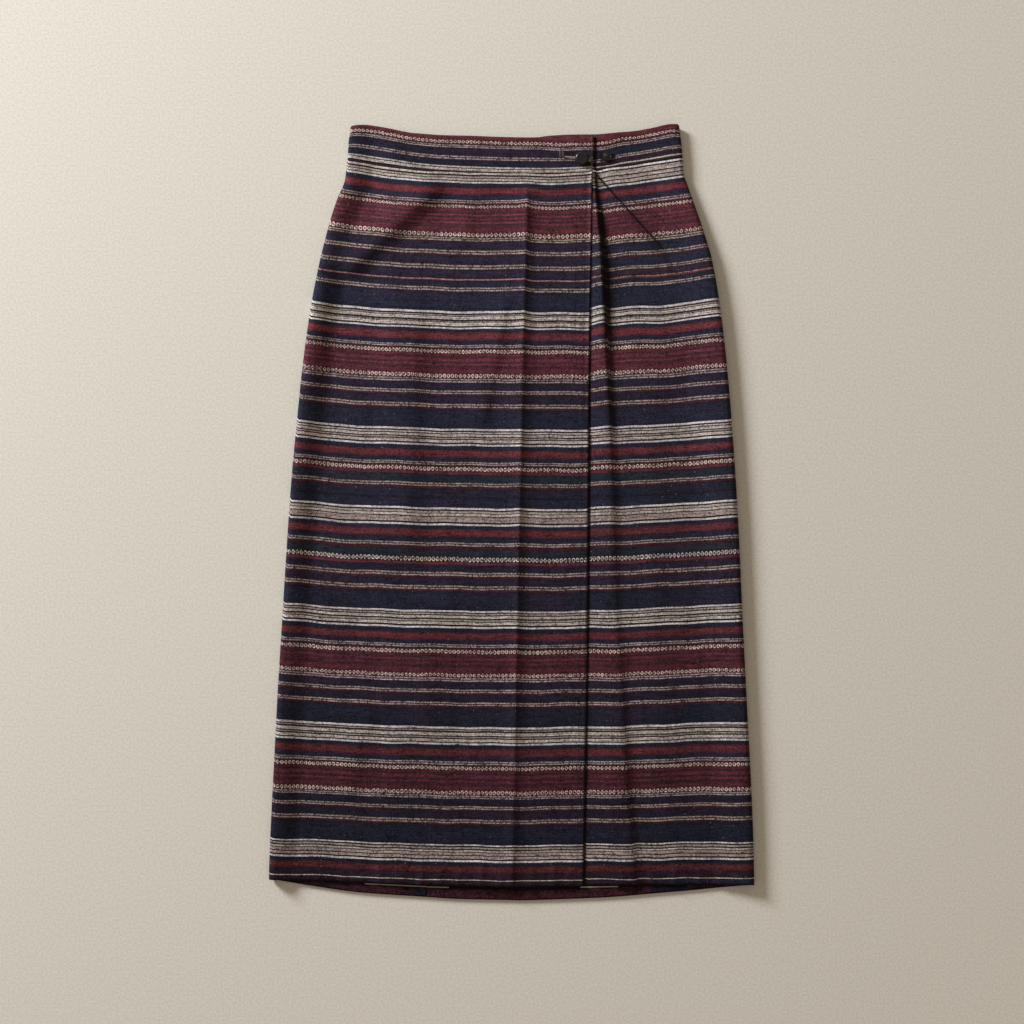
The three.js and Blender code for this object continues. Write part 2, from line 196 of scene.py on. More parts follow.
# %% [markdown]
# ## Heights of the cloth
# Laid cloth is nearly flat, so its form is a height over each point. The two fronts roll
# over a soft fold at the sides, rise over the back hem's facing, and meet the thick band at
# the waist. On top of that come a tuck beside the overlap, a pressed crease, a sewn dart and
# soft creases, each of its own length, width and height.

# %% Creases and what lifts the cloth
CLOTH = 1.2
BAND = 2.4
GAP = 0.3
UNDERLAP_END = -128.0
FRONT_LEVEL = CLOTH + GAP + CLOTH / 2 + 0.05
OVERLAP_STEP = CLOTH + GAP + 0.12
WAIST_RISE = BAND - CLOTH + 0.95
OVERLAP_WAIST_RISE = BAND - CLOTH - 0.1
WAIST_SLOPE = 30
FACING_DEPTH = 40.0
FACING_STEP = dict(above=16, length=15)
CREST_ROUND = 1.2
HOLLOW = dict(height=1.4, top=370, fade=90, rise=34, fall=50)
CREST_RISE = dict(beyond_edge=3, least=7)
DART = dict(start=(94.6, 387.8), end=(173.3, 300.1), width=3.2, depth=1.3, puff=1.6, spread=30)
DART_LEFT = dict(cut=96, cut_fade=6, puff=98, puff_fade=20)
PRESSED = dict(height=5.4, left=18, right=7, pull_right=5, top=386, fade=50)
WORN_PRESS = dict(share=0.25, below=-150, fade=200)
OVER_CREASES = [
    # from x, y, to x, y, gentle half width, sharp half width, height
    (-192, 276, -86, 374, 26, 11, 6.2),
    (-122, -50, -113, 238, 55, 15, 3.6),
    (-36, 100, -8, 240, 22, 8, 2.6),
    (-99, -255, -92, -95, 26, 18, 2.2),
    (-72, -405, -70, -60, 9, 5, 0.6),
    (-196, -330, -158, -212, 28, 14, 2.0),
    (-150, -395, -138, -250, 16, 12, 0.7),
    (30, -120, 34, 40, 16, 10, 0.5),
    (40, -360, 44, -200, 18, 10, 0.6),
    (-60, 300, -44, 366, 14, 9, 1.7),
    (16, 6, 26, 60, 12, 8, 0.8),
]
UNDER_CREASES = [
    # the same columns
    (163, 126, 202, 210, 22, 13, 1.4),
    (186, 250, 176, 296, 7, 14, 1.0),
    (166, -300, 150, -60, 34, 30, 1.4),
    (214, -120, 196, 40, 20, 14, 0.8),
    (228, -390, 208, -190, 24, 14, 1.0),
    (172, -415, 168, -340, 9, 6, 0.6),
]
PUCKER_WIDTH = 3.8
PUCKER_LEAN = 0.1
HEM_PUCKERS = [
    # x, height and length of the small folds that the hem's stitches pull up
    (-246, 1.3, 30), (-221, 1.0, 22), (-193, 1.7, 42), (-171, 1.0, 24), (-152, 1.5, 48),
    (-128, 1.0, 26), (-104, 1.7, 44), (-83, 1.1, 28), (-61, 1.4, 36), (-35, 1.3, 46),
    (-14, 1.0, 22), (22, 1.1, 34), (47, 1.3, 28), (66, 1.0, 36), (101, 1.1, 24),
    (121, 1.4, 36), (160, 1.1, 26), (184, 1.4, 42), (214, 1.1, 30), (238, 1.3, 34),
]


def crease_height(x, y, row):
    """A soft ridge between two points. Its sharp side lies to the right of the way it runs."""
    x0, y0, x1, y1, gentle, sharp, height = row
    length = math.hypot(x1 - x0, y1 - y0)
    along_it = ((x - x0) * (x1 - x0) + (y - y0) * (y1 - y0)) / length
    right = ((x - x0) * (y1 - y0) - (y - y0) * (x1 - x0)) / length
    fade = 1.2 * max(gentle, sharp)
    ends = ease(along_it / fade + 0.5) * ease((length - along_it) / fade + 0.5)
    return height * ends * np.exp(-((right / np.where(right > 0, sharp, gentle)) ** 2))


def hem_lift(x, y):
    """How much a front rises over the facing inside the back hem."""
    step_top = along(HEM_BACK, x) + FACING_DEPTH + FACING_STEP["above"]
    return (CLOTH + GAP) * ease((step_top - y) / FACING_STEP["length"])


def waist_lift(x, y, height):
    """How much the cloth rises to meet the band."""
    return height * (1 - ease((along(WAIST_SEAM, x) - y) / WAIST_SLOPE))


def on_underlap(x, before, length):
    """0 left of the right front's hidden edge, 1 on that front, and a smooth step between."""
    return ease((x - UNDERLAP_END + before) / length)


def pressed(off, right):
    """The section of the pressed crease, gentle on its left and steep on its right."""
    left_side = np.exp(np.minimum(off, 0) / PRESSED["left"])
    return np.where(off < 0, left_side, np.exp(-np.maximum(off, 0) / right))


def puckers(x, y, hem):
    """The small folds at a hem, each leaning a little and fading up the cloth."""
    z = 0.0
    for at, height, length in HEM_PUCKERS:
        off = x - at - PUCKER_LEAN * (y - hem)
        z = z + height * np.exp(-((off / PUCKER_WIDTH) ** 2)) * (1 - ease((y - hem) / length))
    return z


def under_height(x, y):
    """The right front: the tuck's crest, the hollow beside it, soft creases and the dart."""
    z = FRONT_LEVEL + hem_lift(x, y) + waist_lift(x, y, WAIST_RISE)
    drop, steep = along(CREST_DROP, y, 1), along(CREST_DROP, y, 2)
    crest = along(CREST_LINE, y)
    rise = crest - along(OVERLAP_EDGE, y) + CREST_RISE["beyond_edge"]
    rise = np.maximum(rise, CREST_RISE["least"])
    off = x - crest + CREST_ROUND
    sharp = np.clip(1 - off / steep, 0, 1) ** 2
    z += drop * np.where(off > 0, sharp, 1 - ease(-off / rise))
    swell = 1 - ease((off - HOLLOW["rise"]) / HOLLOW["fall"])
    swell = swell * ease((off - steep) / HOLLOW["rise"])
    z += HOLLOW["height"] * ease((HOLLOW["top"] - y) / HOLLOW["fade"]) * swell
    for row in UNDER_CREASES:
        z += crease_height(x, y, row)
    line = (*DART["start"], *DART["end"])
    broad, narrow = DART["spread"], DART["width"]
    puff = crease_height(x, y, (*line, broad, broad, DART["puff"]))
    z += puff * ease((x - DART_LEFT["puff"]) / DART_LEFT["puff_fade"])
    cut = crease_height(x, y, (*line, narrow, narrow, DART["depth"]))
    cut = cut * ease((x - DART_LEFT["cut"]) / DART_LEFT["cut_fade"])
    return z - cut + puckers(x, y, along(HEM_UNDER, x))


def over_height(x, y):
    """The left front: it lies on the right front, with the pressed crease and soft creases."""
    alone = FRONT_LEVEL + hem_lift(x, y) + waist_lift(x, y, WAIST_RISE)
    alone = alone + puckers(x, y, along(HEM_OVER, x))
    stack = under_height(x, y) + OVERLAP_STEP + waist_lift(x, y, OVERLAP_WAIST_RISE)
    z = mix(alone, stack, on_underlap(x, 34, 30))
    press = PRESSED["height"] * pressed(x - along(CREASE_LINE, y), PRESSED["right"])
    worn = 1 - WORN_PRESS["share"] * ease((WORN_PRESS["below"] - y) / WORN_PRESS["fade"])
    z += press * ease((PRESSED["top"] - y) / PRESSED["fade"]) * worn
    for row in OVER_CREASES:
        z += crease_height(x, y, row)
    return z


middle_height = float(over_height(np.array(0.0), np.array(0.0)))
print("cloth lies", round(middle_height, 2), "mm up at its middle")

# %% [markdown]
# ## Grids that follow the cloth
# A piece is a grid of points. Its rows run across the skirt, from the waist to the hem, and
# its columns run down. A front starts at the middle of a side fold, goes over the fold's
# round and on to its free edge, with columns that follow the overlap, the tuck and the crease.

# %% Grids for fronts and backs
FOLD_DEPTH = 5.5
FOLD_FALL = {-1: 28, 1: 46}
FOLD_STEPS = 9
FOLD_ROUND = 1.25
SEAM_TILT = 0.13
SIDE_X = 200.0
STIR_ROUND = 1.6
FOLD_HEIGHTS = np.array([
    # y, left fold, right fold
    [386.0, 8.6, 8.6], [330.0, 10.4, 9.8], [280.0, 11.6, 11.1], [150.0, 11.6, 11.5],
    [40.0, 10.8, 11.5], [-60.0, 10.2, 11.5], [-160.0, 9.4, 11.5], [-260.0, 9.6, 11.5],
    [-390.0, 10.2, 11.0], [-420.0, 11.2, 11.0],
])


def side_edge(y, side):
    return along(SIDES, y, 1 if side < 0 else 2)


def fold_height(y, side):
    """How high the cloth reaches over a side fold, -1 for the left one and 1 for the right."""
    return along(FOLD_HEIGHTS, y, 1 if side < 0 else 2)


def fold_columns(y, side, thick, upper):
    """The round of a side fold: x and z of its columns, for each row's y."""
    edge = side_edge(y, side) - side * thick / 2
    middle = fold_height(y, side) / 2
    reach = middle - thick / 2
    depth = np.minimum(FOLD_DEPTH, FOLD_ROUND * reach)
    first = np.arcsin((GAP / 2 + SEAM_TILT * thick) / reach)
    turn = mix(first[:, None], math.pi / 2, np.linspace(0, 1, FOLD_STEPS + 1)[None, :])
    x = edge[:, None] - side * depth[:, None] * (1 - np.cos(turn))
    return x, middle[:, None] + (1 if upper else -1) * reach[:, None] * np.sin(turn)


def row_heights(shares, top, bottom):
    """Gives y for x on each row. A row keeps its place between the sides all the way down."""
    share = np.asarray(shares)[:, None]
    middle = mix(top(np.zeros((1, 1))), bottom(np.zeros((1, 1))), share)
    left, right = along(SIDES, middle, 1), along(SIDES, middle, 2)
    y_top, y_bottom = float(middle[0, 0]), float(middle[-1, 0])
    ends = [(along(SIDES, y, 1), along(SIDES, y, 2)) for y in (y_top, y_bottom)]

    def y_at(x):
        across = (x - left) / (right - left)
        return mix(top(mix(*ends[0], across)), bottom(mix(*ends[1], across)), share)

    return y_at


def front_grid(shares, top, bottom, side, thick, lines, flat_height, stir=None):
    """Points of a front piece, rows by columns by three, from its left to its right."""
    y_at = row_heights(shares, top, bottom)
    y_side = y_at(np.full((1, 1), side * SIDE_X))[:, 0]
    fold_x, fold_z = fold_columns(y_side, side, thick, True)
    y_mid = y_at(np.zeros((1, 1)))[:, 0]
    stops = [fold_x[:, -1]] + [line(y_mid) for line, _ in lines[1:]]
    flats = [
        mix(a[:, None], b[:, None], np.arange(1, steps + 1)[None, :] / steps)
        for a, b, (_, steps) in zip(stops, stops[1:], lines)
    ]
    x = np.concatenate(flats, axis=1)
    y = y_at(x)
    inside = side * (side_edge(y, side) - x) - thick / 2 - FOLD_DEPTH
    crown = fold_height(y, side) - thick / 2
    z = mix(crown, flat_height(x, y), ease(inside / FOLD_FALL[side]))
    fold_y = y_at(fold_x)
    if stir:
        inner_rows = (np.asarray(shares) * (1 - np.asarray(shares)) > 0)[:, None]
        round_it = ease(np.linspace(0, STIR_ROUND, FOLD_STEPS + 1))[None, :]
        y = y + stir(x, y) * inner_rows
        fold_y = fold_y + stir(fold_x, fold_y) * inner_rows * round_it
    grid = np.stack([
        np.concatenate([fold_x, x], axis=1),
        np.concatenate([fold_y, y], axis=1),
        np.concatenate([fold_z, z], axis=1),
    ], axis=-1)
    return grid if side < 0 else grid[:, ::-1]


def back_grid(shares, top, bottom, thick, steps):
    """Points of a back piece, from the left fold's middle under the skirt to the right's."""
    y_at = row_heights(shares, top, bottom)
    y_sides = {side: y_at(np.full((1, 1), side * SIDE_X))[:, 0] for side in (-1, 1)}
    ends = [fold_columns(y, side, thick, False) for side, y in y_sides.items()]
    flat = mix(ends[0][0][:, -1:], ends[1][0][:, -1:], np.arange(1, steps)[None, :] / steps)
    x = np.concatenate([ends[0][0], flat, ends[1][0][:, ::-1]], axis=1)
    z = np.concatenate([ends[0][1], np.full_like(flat, thick / 2), ends[1][1][:, ::-1]], axis=1)
    return np.stack([x, y_at(x), z], axis=-1)


# %% [markdown]
# ## The weaver's plan
# The cloth is woven in cross stripes: broad navy fields, cream bands with dark lines, brick
# lines between navy ones, and rows of small cream figures on maroon. A plan names each
# stripe's dye and width in millimetres, from the waist down, as a weaver would write it.

# %% Stripe plan
PLAN = {
    "band": """maroon 4 figures 4.7 wine 0.7 ash_pair 4.1 indigo 8.7 ash_pair 4.8 wine 0.5
    navy 6.8 cream 1.8 soot 0.8 cream 3.3 soot 0.6""",
    "facing": """maroon 12 dusk 5 maroon 10 soot 1.5 dusk 5.5 mulberry 6""",
    "right_band": """maroon 6 figures 4.2 wine 1.6 ash_pair 4.2 navy 9 ash_pair 4.6 wine 0.5
    plum 5.4 cream 1.8 umber 2.2 soot 1""",
    "right_one": """soot 0.8 white 2.2 soot 1.4 tan 2.3 cream 2.6 umber 1.3 tan 1 cream 2.1 soot 1
    cream 3.4 soot 1.4 white 2.2 navy 3.6 mulberry 1.2 brick 6 mulberry 1.4 navy 5.5 pink_pair 4.6
    wine 2 small_figures 4.6 maroon 4 dusk 2.2 rose 2.2 dusk 2.2 rose 1.8 dusk 2.6 rose 2 dusk 4
    maroon 5.2 big_figures 5.1 tan_pair 5.1 navy 9.7 pair 5.1 wine 1.3 navy 9.7 pair 4.6 plum 7.2
    tan_pair 1.2 brick 1.6 navy 4.8 pair 4.6 navy 22.6""",
    "one": """soot 0.6 cream 2.3 soot 1.6 tan 1.9 umber 0.7 cream 2.4 soot 0.9 white 2.1 navy 4.5
    mulberry 1.2 brick 6.2 mulberry 1.4 navy 5.5 pink_pair 4.6 wine 1.3 small_figures 4.3
    maroon 4.2 dusk 2.3 rose 2.3 dusk 2.3 rose 1.8 dusk 2.7 rose 2.1 dusk 4.3 maroon 5.4
    big_figures 5.9 tan_pair 4.8 wine 0.7 indigo 8.9 pair 5.7 wine 1.3 indigo 9.8 pair 6
    indigo 10.5 blush 1.6 wine 1.1 navy 6.4 pair 5.5 navy 22.2""",
    "two": """white 2.6 soot 1.6 tan 1 umber 0.7 cream 3.8 soot 1.5 tan_pair 1.8 cream 3.9
    soot 1.5 white 1.9 navy 3.5 mulberry 1.4 brick 6.6 mulberry 1.5 navy 4.7 ash_pair 4 wine 1.5
    small_figures 5.2 maroon 3 dusk 2.1 rose 3.5 dusk 2.4 rose 2.5 dusk 2.5 maroon 6.2 figures 5.6
    ash_pair 5.2 indigo 8.1 pair 4.9 wine 1.5 indigo 8.8 pair 5.5 wine 1.7 navy 21.5""",
    "three": """white 2.4 soot 1.5 cream 1.5 umber 1 cream 2.8 soot 1.1 tan 1.4 umber 1.1
    cream 3.3 soot 1.5 white 2.2 navy 4.5 mulberry 1.2 brick 6.2 mulberry 1.4 navy 4.5 pair 4.3
    wine 1.5 figures 5.5 maroon 3.3 teal 9.1 pair 5.1 wine 2.3 navy 9.6 soot 1.1 navy 10.7""",
    "four": """white 2.3 soot 1.5 tan 2.5 umber 0.6 cream 2.7 umber 0.9 shell 3.2 tan 2.8 soot 1.7
    white 2.3 navy 3.9 mulberry 1.3 brick 6.2 mulberry 1.5 navy 5.8 pair 5 wine 3.2 teal 8.2
    navy_figures 6.4 rose 3.2 indigo 7.8 pair 5.5 wine 2.1 indigo 7.8 pair 5.4 wine 1.8
    navy 21.5""",
    "five": """white 2.1 soot 1.1 tan 1.7 umber 1.1 cream 3 soot 1.5 tan 1.8 umber 0.8 cream 3.2
    soot 1.8 white 2.2 navy 4.6 mulberry 1.3 brick 6.3 mulberry 1.4 navy 4.2 ash_pair 4.4 wine 1.8
    figures 5.5 maroon 2.1 dusk 2.3 rose 3.1 dusk 1.4 maroon 3.3 dusk 2.7 maroon 6.7 figures 4.9
    pink_pair 5.1 indigo 7.9 pair 4.9 wine 1.7 indigo 8.2 pair 4.9 wine 2.2 navy 21.2""",
    "six": """white 2.5 soot 1.1 tan 1.1 umber 1.8 cream 3.8 soot 1.1 tan 1.3 umber 1.3 cream 3.3
    soot 1.1 white 2.3 navy 3.8 mulberry 1.4 brick 6.8 mulberry 1.5 navy 4.6 ash_pair 4.8 wine 1.1
    figures 5.1 maroon 2.6 dusk 2.3 rose 3.9 dusk 2.5 rose 2.7 dusk 3 maroon 5.2 figures 5.7
    ash_pair 4.4 indigo 7.6 pair 4.7 wine 1.5 indigo 8.8 pair 5.6 wine 1.8 navy 22.2""",
    "seven": """white 1.6 soot 1.5 tan 2.1 umber 1.4 cream 1.8 soot 0.7 shell 3.2 umber 0.9 tan 3
    soot 1.5 white 2.3 navy 4.1 mulberry 1.3 brick 5.6 mulberry 1.3 plum 7.7 cream 1.1
    plum 6.9""",
}
# the kinds of stripe; a little more than FIGURED gives longer figures
PLAIN, DOUBLE, FIGURED, LIGHT, BRIGHT = 0.0, 1.0, 2.0, 3.0, 4.0
DYES = {
    # name: (red, green, blue as on a screen, kind of stripe)
    "navy": (31, 33, 48, PLAIN),
    "indigo": (35, 31, 46, PLAIN),
    "teal": (31, 37, 46, PLAIN),
    "plum": (43, 31, 42, PLAIN),
    "wine": (58, 28, 36, PLAIN),
    "mulberry": (68, 34, 44, PLAIN),
    "maroon": (80, 39, 47, PLAIN),
    "rose": (89, 42, 52, PLAIN),
    "dusk": (60, 35, 41, PLAIN),
    "umber": (50, 36, 37, PLAIN),
    "brick": (89, 42, 47, PLAIN),
    "soot": (30, 24, 27, PLAIN),
    "tan": (160, 150, 143, LIGHT),
    "cream": (182, 174, 169, LIGHT),
    "shell": (160, 144, 141, LIGHT),
    "blush": (152, 114, 115, LIGHT),
    "white": (186, 181, 182, BRIGHT),
    "pair": (146, 133, 130, DOUBLE),
    "tan_pair": (150, 139, 131, DOUBLE),
    "ash_pair": (146, 136, 136, DOUBLE),
    "pink_pair": (152, 133, 136, DOUBLE),
    "small_figures": (72, 35, 43, FIGURED),
    "figures": (72, 35, 43, FIGURED + 0.3),
    "big_figures": (72, 35, 43, FIGURED + 0.6),
    "navy_figures": (37, 33, 45, FIGURED + 0.3),
}


def linear(screen):
    """A screen colour, 0 to 255, as the linear light that the shader wants."""
    c = np.asarray(screen, float) / 255
    return np.where(c <= 0.04045, c / 12.92, ((c + 0.055) / 1.055) ** 2.4)


def stripes(*sections):
    """The rows of the plan's sections, as (dye, width)."""
    words = " ".join(PLAN[name] for name in sections).split()
    return list(zip(words[::2], map(float, words[1::2])))


LOWER = ("two", "three", "four", "five", "six", "seven")
SKIRT_STRIPES = stripes("one", *LOWER)
RIGHT_STRIPES = stripes("right_one", *LOWER)
print(len(SKIRT_STRIPES), "stripes on", round(sum(w for _, w in SKIRT_STRIPES)), "mm of cloth")

# %% [markdown]
# ## Shells with their stripes
# The rows of a grid lie on the edges of the stripes, so each stripe stays crisp however the
# cloth bends. Each face keeps its stripe's dye and kind, and a map named Weave holds how far
# along its row a point is, in millimetres, and how far down through its stripe, from 0 to 1.

# %% Rows of a striped grid
RIM_ROUND = 0.12
DYE_SPREAD = 0.14


def woven_rows(plan, longest):
    """Row shares from 0 to 1, and for each strip of faces its dye and its levels."""
    total = sum(width for _, width in plan)
    shares, faces, done = [0.0], [], 0.0
    for dye, width in plan:
        parts = max(1, math.ceil(width / longest))
        for k in range(parts):
            shares.append((done + width * (k + 1) / parts) / total)
            faces.append((dye, k / parts, (k + 1) / parts))
        done += width
    return np.array(shares), faces


def make_mesh(name, points, faces, uv, dyes, kinds):
    """A smooth piece with its map Weave, a dye at each corner and a kind on each face."""
    mesh = bpy.data.meshes.new(name)
    mesh.from_pydata((points * MM).tolist(), [], faces.tolist())
    weave = mesh.uv_layers.new(name="Weave")
    weave.data.foreach_set("uv", uv.reshape(-1).astype(np.float32))
    colour = mesh.color_attributes.new("Dye", "FLOAT_COLOR", "CORNER")
    colour.data.foreach_set("color", dyes.reshape(-1).astype(np.float32))
    kind = mesh.attributes.new("Kind", "FLOAT", "FACE")
    kind.data.foreach_set("value", kinds.astype(np.float32))
    mesh.polygons.foreach_set("use_smooth", [True] * len(mesh.polygons))
    mesh.update()
    return placed(name, mesh)


def unit(v):
    return v / np.linalg.norm(v, axis=-1, keepdims=True)


def shell_faces(number, ring):
    """Faces of the top, the underside and the rim, and the strip that each one lies in."""
    rows, columns = number.shape
    under, rim = number.size, 2 * number.size
    a, b = number[:-1, :-1], number[1:, :-1]
    c, d = number[1:, 1:], number[:-1, 1:]
    top = np.stack([a, b, c, d], axis=-1).reshape(-1, 4)
    strip = np.repeat(np.arange(rows - 1), columns - 1)
    here = np.arange(len(ring))
    after = np.roll(here, -1)
    edge_strip = np.clip(np.minimum(ring // columns, ring[after] // columns), 0, rows - 2)
    upper = np.stack([ring, ring[after], rim + after, rim + here], axis=-1)
    lower = np.stack([rim + here, rim + after, under + ring[after], under + ring], axis=-1)
    faces = np.concatenate([top, under + top[:, ::-1], upper, lower])
    return faces, np.concatenate([strip, strip, edge_strip, edge_strip])


def strip_dyes(strips, seed, fall):
    """Each strip's colour and kind; the colour is uneven by a little, and plain strips grow darker
    toward the hem.
    """
    random = np.random.default_rng(seed)
    tone = 1 + DYE_SPREAD * (random.random(len(strips)) - 0.5)
    kinds = np.array([DYES[s[0]][3] for s in strips])
    tone *= 1 + fall * (0.5 - np.linspace(0, 1, len(strips))) * (kinds == PLAIN)
    dyes = np.array([[*(linear(DYES[s[0]][:3]) * t), 1.0] for s, t in zip(strips, tone)])
    return dyes, kinds


def shell(name, grid, strips, thick, seed=1, fall=0.0):
    """A closed thin shell round a grid of mid points, with a rounded rim."""
    rows, columns = grid.shape[:2]
    down = np.gradient(grid, axis=0)
    across = np.gradient(grid, axis=1)
    normal = -unit(np.cross(across, down)) * thick / 2
    normal = np.where(normal[..., 2:].mean() < 0, -normal, normal)
    number = np.arange(rows * columns).reshape(rows, columns)
    ring = np.concatenate([number[0], number[1:, -1], number[-1, -2::-1], number[-2:0:-1, 0]])
    middle = grid.reshape(-1, 3)[ring]
    tangent = np.roll(middle, -1, axis=0) - np.roll(middle, 1, axis=0)
    outward = unit(np.cross(tangent, normal.reshape(-1, 3)[ring]))
    centre = middle.mean(axis=0)
    outward *= np.sign((outward * (middle - centre)).sum(axis=1).mean()) * RIM_ROUND * thick
    sides = [(grid + normal).reshape(-1, 3), (grid - normal).reshape(-1, 3)]
    points = np.concatenate([*sides, middle + outward])
    faces, strip = shell_faces(number, ring)

    step = np.linalg.norm(np.diff(grid, axis=1), axis=-1)
    run = np.concatenate([np.zeros((rows, 1)), np.cumsum(step, axis=1)], axis=1) + grid[:, :1, 0]
    source = np.concatenate([number.reshape(-1), number.reshape(-1), ring])[faces]
    start = np.array([s[1] for s in strips])[strip][:, None]
    end = np.array([s[2] for s in strips])[strip][:, None]
    level = np.where(source // columns > strip[:, None], end, start)
    uv = np.stack([run.reshape(-1)[source], level], axis=-1)
    dyes, kinds = strip_dyes(strips, seed, fall)
    corner_dyes = np.repeat(dyes[strip][:, None], 4, axis=1)
    piece = make_mesh(name, points, faces, uv, corner_dyes, kinds[strip])
    cells = np.cross(grid[1:, :-1] - grid[:-1, :-1], grid[:-1, 1:] - grid[:-1, :-1])
    piece["flat_area"] = float(np.linalg.norm(cells, axis=-1).sum() * MM * MM)
    print(name, len(faces), "faces,", round(piece["flat_area"], 3), "square metres")
    return piece


# %% [markdown]
# ## The skirt's panels
# The back, the right front that laps under, and the left front that laps over are cut from
# the same cloth, so they share one plan and their stripes meet at the sides.

# %% Panels
PANEL_ROW = 5.0
BACK_COLUMNS = 90
DARKER_TOWARD_HEM = 0.44
TUCK_PULL = dict(left_reach=10, right_reach=5, share=0.5, fade_from=12, fade=60)
CREASE_PULL = dict(most=2.4, least_share=0.35, above=100, rise=250, top=384, fade=30)


def line_of(table, shift=0.0):
    """The curve through a table as a function, moved by a shift."""
    return lambda at: along(table, at) + shift


def underlap_end(y):
    return np.full_like(y, UNDERLAP_END)


def crest_foot(y):
    """The line where the steep drop beside the crest ends."""
    return along(CREST_LINE, y) + along(CREST_DROP, y, 2)


SAGS = [
    # x, y, half width, half height, how far the stripes hang below a level weave
    (-198, 70, 58, 330, 3.4), (-128, -150, 60, 190, 1.3), (-90, -350, 150, 120, 1.5),
    (-115, 380, 70, 45, 2.2), (40, -40, 50, 130, 1.0), (20, 230, 60, 60, -0.8),
    (-262, 20, 16, 120, 1.4), (200, 60, 40, 110, 0.9), (215, -270, 45, 130, -0.4),
    (225, 230, 35, 70, -1.6), (-262, -330, 30, 150, 1.2), (58, 150, 22, 70, -1.0),
]
WAVES = [
    # size, length across, length down, start
    (0.3, 31, 140, 0.6), (0.25, 13, -75, 0), (0.2, 7.3, 33, 0),
]
UNDER_LINES = [
    # line from the right fold inward, columns to the next line
    (None, 62), (crest_foot, 8), (line_of(CREST_LINE), 10), (line_of(OVERLAP_EDGE), 6),
    (line_of(OVERLAP_EDGE, -9.0), 6), (line_of(OVERLAP_EDGE, -34.0), 26), (underlap_end, 0),
]
OVER_LINES = [
    # line from the left fold inward, columns to the next line
    (None, 44), (underlap_end, 56), (line_of(CREASE_LINE), 12), (line_of(CREASE_LINE, 18.0), 16),
    (line_of(OVERLAP_EDGE, -9.0), 6), (line_of(OVERLAP_EDGE), 0),
]


def back_piece(name, rows, top, bottom, thick, columns, **look):
    shares, strips = rows
    return shell(name, back_grid(shares, top, bottom, thick, columns), strips, thick, **look)


def front_piece(name, rows, top, bottom, side, thick, lines, height, stir, **look):
    shares, strips = rows
    points = front_grid(shares, top, bottom, side, thick, lines, height, stir)
    return shell(name, points, strips, thick, **look)


def sway(x, y):
    """How far a stripe strays from level: it sags in places and wavers a little."""
    stray = sum(size * np.sin(x / wide + y / high + start) for size, wide, high, start in WAVES)
    for at_x, at_y, wide, high, drop in SAGS:
        stray = stray - drop * np.exp(-(((x - at_x) / wide) ** 2) - ((y - at_y) / high) ** 2)
    return stray


def under_stir(x, y):
    """How far the cloth is pushed up in its own plane beside the tuck."""
    off = x - along(CREST_LINE, y)
    near = along(OVERLAP_EDGE, y) - along(CREST_LINE, y) - TUCK_PULL["left_reach"]
    fall = ease(np.where(off < 0, off / near, off / TUCK_PULL["right_reach"]))
    rise = 1 - TUCK_PULL["share"] * fall
    rise = rise * (1 - ease((off - TUCK_PULL["fade_from"]) / TUCK_PULL["fade"]))
    return along(CREST_DROP, y, 3) * rise + sway(x, y)


def over_stir(x, y):
    """How far the pressed crease pulls the stripes up."""
    off = x - along(CREASE_LINE, y)
    grown = ease((y - CREASE_PULL["above"]) / CREASE_PULL["rise"])
    pull = pressed(off, PRESSED["pull_right"]) * mix(CREASE_PULL["least_share"], 1, grown)
    pull = pull * CREASE_PULL["most"] * ease((CREASE_PULL["top"] - y) / CREASE_PULL["fade"])
    return pull + sway(x, y)


seam_above = line_of(WAIST_SEAM, -GAP / 2)
panel_rows = woven_rows(SKIRT_STRIPES, PANEL_ROW)
back = back_piece("back", panel_rows, seam_above, line_of(HEM_BACK), CLOTH, BACK_COLUMNS,
                  seed=3, fall=DARKER_TOWARD_HEM)
under = front_piece("right_front", woven_rows(RIGHT_STRIPES, PANEL_ROW), seam_above,
                    line_of(HEM_UNDER), 1, CLOTH, UNDER_LINES, under_height, under_stir,
                    fall=DARKER_TOWARD_HEM)
over = front_piece("left_front", panel_rows, seam_above, line_of(HEM_OVER), -1, CLOTH,
                   OVER_LINES, over_height, over_stir, fall=DARKER_TOWARD_HEM)

# %% [markdown]
# ## The waistband
# The band is folded double, so it is twice as thick as the panels. It runs round the waist in
# three stretches that lie on each other: along the back, on the right front and on the left.

# %% Band
BAND_ROW = 2.5
BAND_COLUMNS = 70
BAND_LEVEL = BAND + GAP + BAND / 2
OVERLAP_BAND_LEVEL = BAND_LEVEL + BAND + GAP
UNDER_PULL = dict(drop=2.4, right=106, fade=22, above=392, rise=10)
OVER_PULL = dict(drop=2.6, left=25, rise=35, above=396, fade=22)
OVER_SAG = dict(drop=0.8, left=-150, rise=60)
UNDER_BAND_LINES = [(None, 40), (line_of(OVERLAP_EDGE), 40), (underlap_end, 0)]
OVER_BAND_LINES = [(None, 20), (underlap_end, 80), (line_of(OVERLAP_EDGE), 0)]


def over_band_height(x, y):
    return mix(BAND_LEVEL, OVERLAP_BAND_LEVEL, on_underlap(x, 40, 36))


def under_band_stir(x, y):
    """The stripes hang lower where the second button pulls at the band."""
    near = 1 - ease((x - UNDER_PULL["right"]) / UNDER_PULL["fade"])
    return -UNDER_PULL["drop"] * near * ease((y - UNDER_PULL["above"]) / UNDER_PULL["rise"])


def over_band_stir(x, y):
    """The stripes hang lower toward the outer button, and a little toward the right in all."""
    near = ease((x - OVER_PULL["left"]) / OVER_PULL["rise"])
    pull = OVER_PULL["drop"] * near * ease((y - OVER_PULL["above"]) / OVER_PULL["fade"])
    return -pull - OVER_SAG["drop"] * ease((x - OVER_SAG["left"]) / OVER_SAG["rise"])


